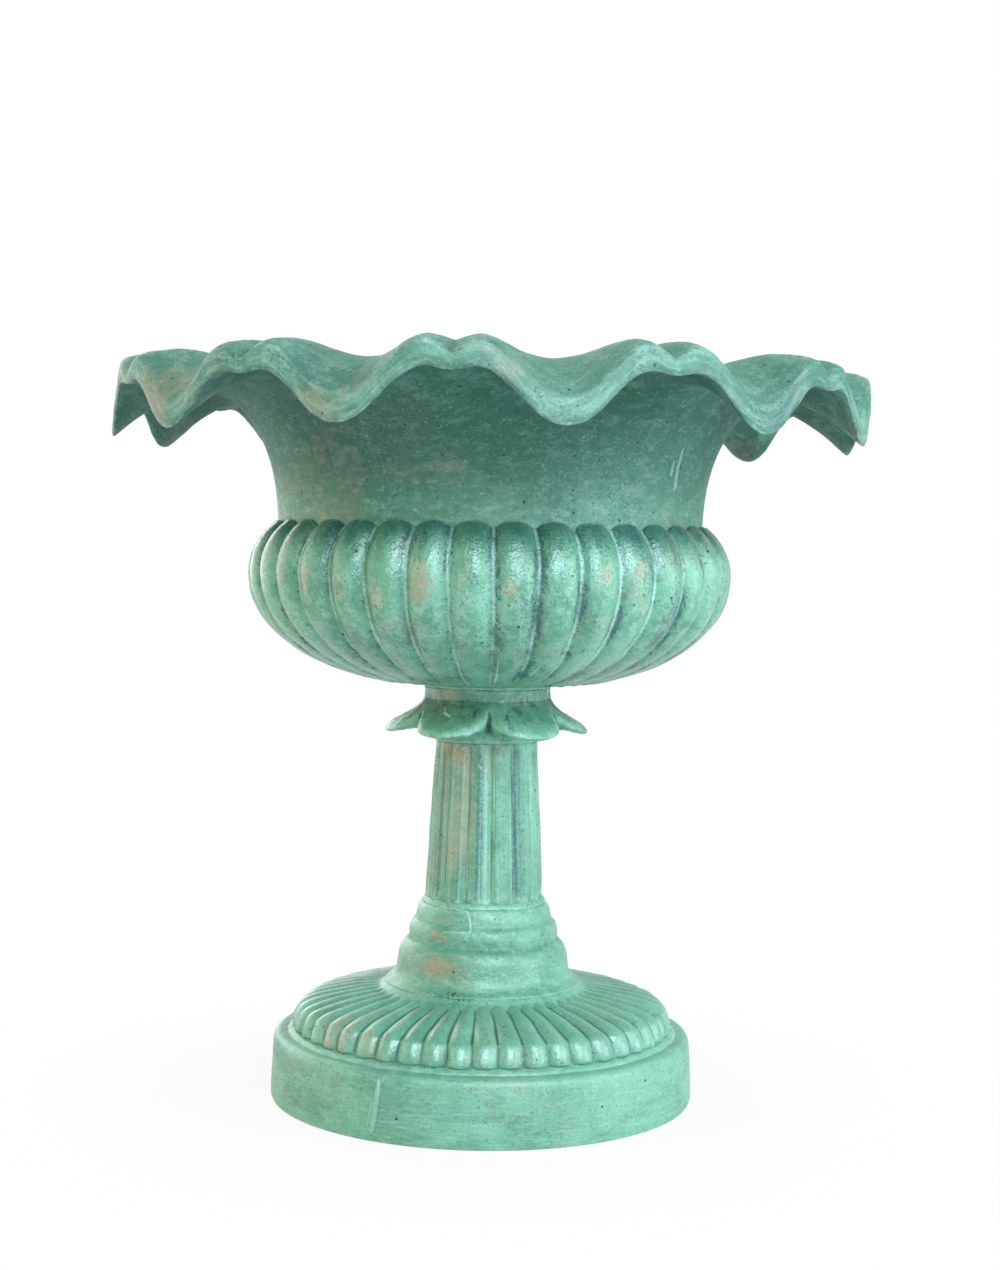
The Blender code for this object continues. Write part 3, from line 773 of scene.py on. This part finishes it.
def make_collar():
    """Six petals with rolled edges round a cone, under the short neck."""
    steps = 12
    fold = [
        (0.0395, 0.0010), (0.0405, 0.0045), (0.0430, 0.0075), (0.0468, 0.0098), (0.0515, 0.0114),
        (0.0540, 0.0140), (0.0532, 0.0185), (0.0508, 0.0222), (0.0480, 0.0248), (0.0458, 0.0268),
    ]
    middle = [
        (0.0400, 0.0010), (0.0445, 0.0044), (0.0520, 0.0058), (0.0610, 0.0054), (0.0690, 0.0026),
        (0.0730, 0.0038), (0.0700, 0.0098), (0.0625, 0.0132), (0.0535, 0.0178), (0.0470, 0.0240),
    ]
    points = PETALS * steps
    stub = COLLAR_TOP - COLLAR_Z
    flat = [
        (BORE_RADIUS, 0), (0.0385, 0), *fold, (STUB_RADIUS, 0.0275), (STUB_RADIUS, stub - 0.003),
        (STUB_RADIUS, stub), (BORE_RADIUS, stub),
    ]
    profile = [(r, COLLAR_Z + z) for r, z in flat]
    collar = throw("leaf_collar_casting", profile, points, PETAL_TURN)
    for ring, ((r0, z0), (r1, z1)) in enumerate(zip(fold, middle), start=2):
        for step in range(1, steps // 2 + 1):
            swell = petal_swell(step / steps)
            ring_class(collar, points, ring, PETALS, PETAL_TURN, step / steps)
            shift_ring(r0, r0 + (r1 - r0) * swell, (z1 - z0) * swell)
    crease_folds(collar, points, PETALS, PETAL_TURN, 4, 11, 0.8)
    crease_rings(collar, points, (0, 1, len(profile) - 2, len(profile) - 1), SHARP)
    crease_rings(collar, points, (6, 7, 11), 0.4)
    crease_rings(collar, points, (12,), SHARP)
    finish_mesh(collar, 3)
    warp(collar, 0.02, 0.0020)
    roughen(collar, 0.012, 0.0014)
    roughen(collar, 0.005, 0.0006)
    return collar


def make_bowl():
    """The lower bowl: convex lobes that end in scallops, a ledge for the rim and a plain hollow."""
    points = GADROONS * 6
    foot = STUB_RADIUS + 0.005
    lip = NECK_RADIUS + 0.0024
    under = arc((foot, BELLY_Z), (BELLY_RADIUS - foot, BELLY_Z - BOWL_Z), 270, 360, 8)
    close = 60  # degrees that the dome turns through, from the belly to the lip
    swell = (BELLY_RADIUS - lip) / (1 - math.cos(math.radians(close)))
    rise = (BOWL_TOP - BELLY_Z) / math.sin(math.radians(close))
    dome = arc((BELLY_RADIUS - swell, BELLY_Z), (swell, rise), 0, close, 5)
    belly = BELLY_RADIUS - BELLY_WALL
    hollow = arc((foot - 0.012, BELLY_Z), (belly - foot + 0.012, BELLY_Z - FLOOR_Z), 360, 270, 4)
    neck_bore = NECK_RADIUS - NECK_WALL
    profile = [
        (BORE_RADIUS, BOWL_Z), (foot - 0.006, BOWL_Z), *under, *dome[1:],
        (NECK_RADIUS + 0.0008, BOWL_TOP - 0.0006), (NECK_RADIUS + 0.0008, LEDGE_Z), (neck_bore, LEDGE_Z),
        (neck_bore, LEDGE_Z - 0.006), *hollow, (BORE_RADIUS, FLOOR_Z),
    ]
    depths = [0, 0] + [0.0012 + GADROON_DEPTH * math.sin(math.pi / 2 * k / 8) for k in range(9)]
    depths += [0.0067, 0.0066, 0.0060, 0.0046, 0.0022, 0]
    drops = [0] * 11 + [0.0007, 0.0014, 0.0024, 0.0038, 0.0054, 0.0054]
    bowl = throw("gadrooned_bowl_casting", profile, points, GADROON_TURN)
    for ring, ((radius, _), depth, drop) in enumerate(zip(profile, depths, drops)):
        for share, part in ((0.0, 1.0), (1 / 6, 0.34), (1 / 3, 0.06), (0.5, 0.0)):
            ring_class(bowl, points, ring, GADROONS, GADROON_TURN, share)
            shift_ring(radius, radius - depth * part, -drop * part)
    crease_folds(bowl, points, GADROONS, GADROON_TURN, 2, 15, 1.0)
    crease_rings(bowl, points, (0, 1, 15, 16, 17, 18, 19, len(profile) - 1), 0.75)
    finish_mesh(bowl, 2)
    raise_seams(bowl, GADROONS, GADROON_TURN, BOWL_Z + 0.002, BOWL_TOP - 0.001)
    warp(bowl, 0.05, 0.0022)
    roughen(bowl, 0.03, 0.0009)
    return bowl


def rim_droop(radius):
    """How far the lip hangs at a radius."""
    share = max(0.0, (radius - FLARE_RADIUS) / (RIM_RADIUS - FLARE_RADIUS))
    return LIP_DROOP * share ** 2


def rim_swing(radius):
    """Half the height of the wave at a radius."""
    share = max(0.0, (radius - WAVE_START) / (RIM_RADIUS - WAVE_START))
    return WAVE_SWING * share ** 2


def finer(lifts, sharp):
    """Half a wave's lifts at twice the steps, rounded off, with the fold left sharp where it is creased."""
    mirrored = [lifts[1], *lifts, lifts[3]]
    fine = []
    for before, lift, after in zip(mirrored, lifts, mirrored[2:]):
        fine += [(before + 6 * lift + after) / 8, (lift + after) / 2]
    if sharp:
        fine[0] = lifts[0]
    return fine[:LIFT_STEPS + 1]


def smooth_lift(share):
    """The wave's lift at a share of its lobe, rounded off as the finished rim is."""
    half = LIFT_STEPS // 2
    first = min(half - 1, int(share * LIFT_STEPS))
    u = share * LIFT_STEPS - first
    weights = ((1 - u) ** 3, 3 * u ** 3 - 6 * u ** 2 + 4, -3 * u ** 3 + 3 * u ** 2 + 3 * u + 1, u ** 3)
    total = 0.0
    for weight, step in zip(weights, range(first - 1, first + 3)):
        step = abs(step) if step <= half else LIFT_STEPS - step
        total += weight * (UNDER_LIFTS[step] + OVER_LIFTS[step]) / 2
    return total / 6


def store_level(rim):
    """Store each point's height less the wave's, so that strokes can follow the wave."""
    levels = []
    for point in rim.data.vertices:
        lift = smooth_lift(fold_distance(point, WAVES, WAVE_TURN))
        levels.append(point.co.z - rim_swing(radius_of(point.co)) * (2 * lift - 1))
    store(rim, "level", levels)


def make_rim():
    """The plain neck, its flare, and the waved lip with a fold in each crest."""
    steps = 2 * LIFT_STEPS
    points = WAVES * steps
    centre = (FLARE_RADIUS, FLARE_Z)
    reach, height = FLARE_RADIUS - NECK_RADIUS, FLARE_TOP - FLARE_Z
    outside = arc(centre, (reach, height), 180, 90, 6)
    inside = arc(centre, (reach + NECK_WALL, FLARE_TOP + NECK_WALL - FLARE_Z), 90, 180, 6)
    thick = LIP_THICKNESS
    under = [(0.040, 0), (0.020, 0), (0.005, 0), (0.0012, 0.0012), (0, 0.005)]
    over = [
        (0.0004, thick - 0.005), (0.0018, thick - 0.0012), (0.006, thick), (0.020, thick - 0.0012),
        (0.040, thick - 0.003),
    ]
    flange = [(RIM_RADIUS - inset, FLARE_TOP + rise) for inset, rise in under + over]
    flat = [(NECK_RADIUS, RIM_Z), *outside, *flange, *inside, (NECK_RADIUS - NECK_WALL, RIM_Z)]
    profile = [(r, z - rim_droop(r)) for r, z in flat]
    rim = throw("flared_rim_casting", profile, points)
    first = 1 + len(outside)
    turn_over = first + len(under)
    last = first + len(flange)
    for ring, (radius, _) in enumerate(profile):
        swing = rim_swing(radius)
        if swing < 1e-5:
            continue
        lifts = finer(UNDER_LIFTS if ring < turn_over else OVER_LIFTS, turn_over <= ring <= last)
        for step, lift in enumerate(lifts):
            ring_class(rim, points, ring, WAVES, WAVE_TURN, step / steps)
            bpy.ops.transform.translate(value=(0, 0, swing * (2 * lift - 1)))
    crease_folds(rim, points, WAVES, WAVE_TURN, turn_over, last, 0.6)
    crease_rings(rim, points, (0, len(profile) - 1), SHARP)
    crease_rings(rim, points, (first + 3, turn_over + 1), SHARP)
    finish_mesh(rim, 2)
    store_level(rim)
    keep = weigh(rim, "flange", lambda co: ramp(radius_of(co), 0.18, 0.05))
    roughen(rim, 0.09, 0.0025, "Z", keep)
    roughen(rim, 0.02, 0.0013, "NORMAL", keep)
    roughen(rim, 0.007, 0.0006, "NORMAL", keep)
    return rim


def make_beads():
    """Filler at the joints: rings that close each bed and spill a little over the castings."""
    bell, foot, head, stub = BELL_RADIUS, COLUMN_FOOT_RADIUS, COLUMN_HEAD_RADIUS, STUB_RADIUS
    sections = {
        "plinth_mortar_bed": [
            (0.118, PLINTH_TOP - 0.003), (FOOT_RADIUS + 0.0042, PLINTH_TOP - 0.003),
            (FOOT_RADIUS + 0.0024, PLINTH_TOP + 0.0005), (FOOT_RADIUS - 0.0016, FOOT_Z + 0.0012),
            (0.118, FOOT_Z + 0.0008)],
        "foot_mortar_bed": [
            (0.060, FOOT_TOP - 0.010), (bell + 0.0120, FOOT_TOP - 0.010), (bell + 0.0100, FOOT_TOP - 0.0036),
            (bell + 0.0055, FOOT_TOP - 0.0018), (bell + 0.0020, FOOT_TOP - 0.0002),
            (bell - 0.0006, BELL_Z + 0.0006), (bell - 0.0034, BELL_Z + 0.0018), (0.060, BELL_Z + 0.0010)],
        "column_mortar_bed": [
            (0.030, BELL_TOP - 0.0014), (foot + 0.0026, BELL_TOP - 0.0016),
            (foot + 0.0022, BELL_TOP + 0.0006), (foot + 0.0008, COLUMN_Z + 0.0002),
            (foot - 0.0004, COLUMN_Z + 0.0014), (0.030, COLUMN_Z + 0.0010)],
        "collar_mortar_bed": [
            (0.025, COLUMN_TOP - 0.0005), (head, COLUMN_TOP - 0.0010), (head + 0.0014, COLUMN_TOP + 0.0008),
            (0.0396, COLLAR_Z + 0.0012), (0.025, COLLAR_Z + 0.0008)],
        "bowl_mortar_bed": [
            (0.030, COLLAR_TOP - 0.0004), (stub, COLLAR_TOP - 0.0008), (stub + 0.0009, COLLAR_TOP + 0.0008),
            (stub + 0.0022, BOWL_Z + 0.0010), (0.030, BOWL_Z + 0.0008)],
    }
    beads = []
    for node, section in sections.items():
        bead = throw(node + "_bead", section, ROUND_POINTS)
        crease_rings(bead, ROUND_POINTS, (0, len(section) - 1), SHARP)
        finish_mesh(bead, 2)
        roughen(bead, 0.012, 0.0009)
        beads.append((bead, node))
    return beads


# Studio


def make_camera():
    """The photograph's view: a level lens a little above the bowl's belly, rolled by the urn's lean."""
    distance, height, azimuth = 1.485, 0.389, math.radians(5.5)
    frame_height, focal, horizon_rise = 1270, 2068, 85.4
    aim_right, roll = 0.0073, math.radians(1.0)
    data = bpy.data.cameras.new("camera")
    data.sensor_fit = "VERTICAL"
    data.sensor_height = 24.0
    data.lens = data.sensor_height * focal / frame_height
    data.shift_y = -horizon_rise / frame_height
    data.clip_start = 0.05
    camera = bpy.data.objects.new("camera", data)
    bpy.context.scene.collection.objects.link(camera)
    camera.location = (distance * math.sin(azimuth), -distance * math.cos(azimuth), height)
    aim = Vector((aim_right * math.cos(azimuth), aim_right * math.sin(azimuth), height))
    look = (aim - camera.location).to_track_quat("-Z", "Y")
    camera.rotation_mode = "QUATERNION"
    camera.rotation_quaternion = look @ Quaternion((0, 0, 1), roll)
    bpy.context.scene.camera = camera


def make_floor():
    """White paper that takes a faint shadow near the urn and is plain white to the eye farther off."""
    let_go()
    bpy.ops.mesh.primitive_plane_add(size=12, location=(0, 0, 0))
    floor = bpy.context.object
    floor.name = "floor"
    finish = Finish("floor_paper")
    grain = finish.noise(60.0, 3.0)
    base = finish.mix(colour(226, 226, 226), colour(232, 232, 232), grain)
    paper = finish.paint(base, 0.9, grain, 0.02, 0.0005)
    white = finish.node("ShaderNodeEmission", None, {"Color": WHITE, "Strength": 1.0})
    lit = Tone(finish, finish.shader.outputs[0])
    plain = 0.88 + 0.12 * finish.band(finish.length(finish.place), 0.16, 0.42)
    both = finish.node("ShaderNodeMixShader", None, {0: plain * finish.seen(), 1: lit, 2: white})
    finish.feed(finish.tree.nodes["Material Output"].inputs["Surface"], both)
    floor.data.materials.append(paper)


def make_backdrop():
    """A backdrop that is white to the eye and gives an even, weaker fill."""
    world = bpy.data.worlds.new("studio")
    bpy.context.scene.world = world
    world.use_nodes = True
    world.node_tree.nodes.clear()
    sky = Nodes(world.node_tree)
    fill = sky.node("ShaderNodeBackground", None, {"Color": WHITE, "Strength": 0.22})
    white = sky.node("ShaderNodeBackground", None, {"Color": WHITE, "Strength": 1.0})
    both = sky.node("ShaderNodeMixShader", None, {0: sky.seen(), 1: fill, 2: white})
    out = sky.tree.nodes.new("ShaderNodeOutputWorld")
    sky.feed(out.inputs["Surface"], both)


def make_softbox(name, place, size, power, shade, shine=True, lights=True):
    """A lamp aimed at the urn, which may light without shining or shine without lighting."""
    data = bpy.data.lights.new(name, "AREA")
    data.shape = "RECTANGLE"
    data.size, data.size_y = size
    data.energy = power
    data.color = shade
    lamp = bpy.data.objects.new(name, data)
    bpy.context.scene.collection.objects.link(lamp)
    lamp.location = place
    lamp.visible_glossy = shine
    lamp.visible_diffuse = lights
    middle_of_urn = Vector((0, 0, 0.3))
    lamp.rotation_euler = (middle_of_urn - lamp.location).to_track_quat("-Z", "Y").to_euler()


def make_studio():
    make_floor()
    make_backdrop()
    make_softbox("key_right", (1.8, -0.6, 0.5), (0.9, 1.5), 36, (0.95, 0.98, 1.0))
    make_softbox("front", (0.65, -1.8, 1.45), (1.1, 0.9), 30, (0.82, 0.95, 1.0))
    make_softbox("window", (0.55, -1.75, 1.25), (1.1, 1.2), 60, (0.72, 0.91, 1.0), lights=False)
    make_softbox("window_left", (-1.7, 0.4, 0.45), (1.0, 1.4), 11, (0.95, 0.98, 1.0), lights=False)
    make_softbox("fill_left", (-1.7, -1.0, 0.8), (0.8, 1.4), 24, (1.0, 0.74, 0.50), shine=False)
    make_softbox("back", (-1.2, 1.6, 0.8), (1.0, 1.3), 14, (1.0, 1.0, 1.0))
    make_softbox("top", (0.1, 0.4, 2.0), (1.6, 1.6), 10, (1.0, 1.0, 1.0), shine=False)
    bpy.context.scene.view_settings.view_transform = "Standard"


# The urn

# Runs of paint on the castings: the path of each by angle and height, and its half width
RUNS = (
    ("flared_rim", [(58.3, 0.463), (58.4, 0.446), (59.0, 0.4305)], 0.0018),
    ("flared_rim", [(56.0, 0.452), (56.2, 0.440)], 0.0012),
    ("plinth", [(-21.2, 0.044), (-21.6, 0.0294), (-22.9, 0.0055)], 0.0022),
    ("plinth", [(-22.8, 0.0295), (-23.4, 0.018), (-24.2, 0.009)], 0.0014),
    ("leaf_collar", [(15.2, 0.2837), (18.0, 0.2834), (20.6, 0.2836)], 0.0021),
    ("leaf_collar", [(-32.8, 0.279), (-28.1, 0.2745), (-21.5, 0.272)], 0.0013),
    ("gadrooned_bowl", [(8.4, 0.3184), (8.4, 0.307), (8.3, 0.2985)], 0.0009),
    ("gadrooned_bowl", [(20.7, 0.313), (19.3, 0.3054)], 0.0009),
    ("fluted_column", [(-4.5, 0.2385), (1.0, 0.2348)], 0.0012),
    ("fluted_column", [(-12.0, 0.180), (-12.4, 0.163), (-12.0, 0.150)], 0.0008),
    ("bell_base", [(-38, 0.1370), (-22, 0.1368), (-9, 0.1360), (-6, 0.1298), (-5, 0.1227), (-14, 0.1219),
                   (-27, 0.1216)], 0.0012),
)

# Copper-coloured places on the bowl's lobes: angle, height, size and how tall for its width
LOBE_WEAR = (
    (-50, 0.366, 0.013, 1.6), (-40, 0.368, 0.013, 1.6), (-30, 0.364, 0.013, 1.6),
    (-20, 0.362, 0.013, 1.7), (-10, 0.366, 0.012, 1.6), (0, 0.372, 0.011, 1.4),
    (10, 0.364, 0.010, 1.2), (31, 0.374, 0.010, 1.0), (41, 0.378, 0.009, 1.0),
)

# The paint on each casting, and the rounds of smoothing against which its relief is felt
LOOKS = {
    # On the rim, the darkening where it faces down and towards the neck's top is painted shade under the
    # flange
    "flared_rim": (30, dict(
        stroke=(4, 4, 60), stains=(5, 5, 34), wash=0.3, rub=0.40, speckle=0.3, hollow=1.2, proud=1.5,
        streak=0.22, tone=0.45, pits=1.0, dark_top_and_shade=(0.452, 0.472, 0.18), stain=0.6, painted_underside_shade=0.46, gloss=0.42,
        edge=(RIM_RADIUS - 0.0055, RIM_RADIUS - 0.0025, 0.12), level="level", sheen=0.45,
        worn=[(-44, 0.148, 0.425, 0.10, 0.8), (-12, 0.147, 0.438, 0.06, 0.25), (-20, 0.262, 0.470, 0.03, 1),
              (-44, 0.262, 0.486, 0.06, 1), (-62, 0.262, 0.480, 0.06, 1)])),
    # The bowl's darker top is partly stain, partly painted shade under the rim's flange
    "gadrooned_bowl": (40, dict(
        stroke=(6, 6, 18), stains=(9, 9, 16), wash=0.85, rub=0.6, hollow=3.6, proud=1.6, seam=1.7,
        streak=0.08, stain=0.9, tone=0.09, dark_top_and_shade=(BELLY_Z + 0.006, BOWL_TOP, 0.75), gloss=0.14, sandy=0.8,
        dusty=0.8, core=0.15, worn=[(angle, 0.171, *rest) for angle, *rest in LOBE_WEAR])),
    # The paler fronts of the foot's teeth are a painted highlight
    "ribbed_foot": (30, dict(
        stroke=(8, 8, 30), stains=(6, 6, 20), wash=0.8, rub=0.4, hollow=0.8, proud=2.2, streak=0.1,
        stain=0.2, gloss=0.14, even=0.2, tone=0.06, edge=(FOOT_RADIUS - 0.0085, FOOT_RADIUS - 0.0045, 0.2),
        worn=[(-45, 0.134, 0.060, 0.03, 1), (-28, 0.134, 0.058, 0.02, 1)])),
    "bell_base": (30, dict(
        stroke=(2, 2, 110), stains=(2, 2, 60), wash=0.2, rub=0.75, pits=0.15, hollow=0.6, proud=0.7,
        streak=0.3, stain=0.3, gloss=0.28, even=0.15, dusty=0.4, tone=0.05,
        chips=[(-10, BELL_RADIUS - 0.002, BELL_Z + 0.0022, 0.034, 0.09)],
        worn=[(-26, 0.060, 0.095, 0.020, 0.7), (-30, 0.053, 0.1185, 0.018, 0.4),
              (-24, 0.047, 0.131, 0.016, 0.4)])),
    "fluted_column": (30, dict(
        stroke=(4.5, 4.5, 0.8), stains=(3.5, 3.5, 0.6), wash=0.65, rub=0.65, hollow=0.8, proud=1.6,
        streak=0.55, stain=0.8, gloss=0.36, dusty=0.25, tone=0.18,
        worn=[(-12, 0.039, 0.200, 0.010, 7), (-42, 0.039, 0.200, 0.026, 4), (12, 0.039, 0.235, 0.008, 2)])),
    # The collar's darker stub is partly dirt, partly painted shade under the bowl
    "leaf_collar": (120, dict(
        stroke=(4, 4, 40), stains=(4, 4, 44), wash=0.8, rub=0.5, hollow=0.9, proud=1.2, streak=0.25,
        stain=1.0, dusty=0.35, tone=0.04, dark_top_and_shade=(0.276, 0.284, 0.25), worn=[(-38, 0.045, 0.288, 0.024, 1)])),
    "plinth": (30, dict(
        stroke=(2.5, 2.5, 150), stains=(2, 2, 70), wash=0.3, rub=0.2, pits=0.12, hollow=3.0, proud=2.0,
        streak=0.3, stain=0.3, even=0.3, dusty=0.3, tone=0.03, worn=[(-45, 0.140, 0.030, 0.06, 0.5)])),
}


def dress_castings():
    """Make the castings and the filler, run paint down them, and put them in place of their solids."""
    castings = {
        "flared_rim": make_rim(),
        "gadrooned_bowl": make_bowl(),
        "ribbed_foot": make_foot(),
        "bell_base": make_bell(),
        "fluted_column": make_column(),
        "leaf_collar": make_collar(),
        "plinth": make_plinth(),
    }
    for node, path, width in RUNS:
        run_paint(castings[node], path, width)
    for node, (rounds, look) in LOOKS.items():
        feel_relief(castings[node], rounds)
        place(castings[node], verdigris(node + "_paint", **look), "verdigris_paint", node)
    filler = verdigris("filler_paint", wash=0.5, rub=0.2, hollow=0.6, proud=0.5, stain=0.3, even=0.2,
                       chips=[(-8, BELL_RADIUS, BELL_Z + 0.0008, 0.034, 0.08)])
    for bead, node in make_beads():
        feel_relief(bead, 20)
        place(bead, filler, "painted_mortar", node)


def dress_nodes():
    """Finish the solids that stay: mortar beds and the tie rod's hardware."""
    finishes = {
        "painted_mortar": mortar_finish(),
        "zinc_plated_steel": zinc_finish(),
        "black_rubber": rubber_finish(),
    }
    for row in frame["record"]["subparts"]:
        if row["material_slot"] in finishes:
            solid = frame["nodes"][row["node"]]
            solid.data.materials.clear()
            solid.data.materials.append(finishes[row["material_slot"]])


make_camera()
make_studio()
dress_castings()
dress_nodes()
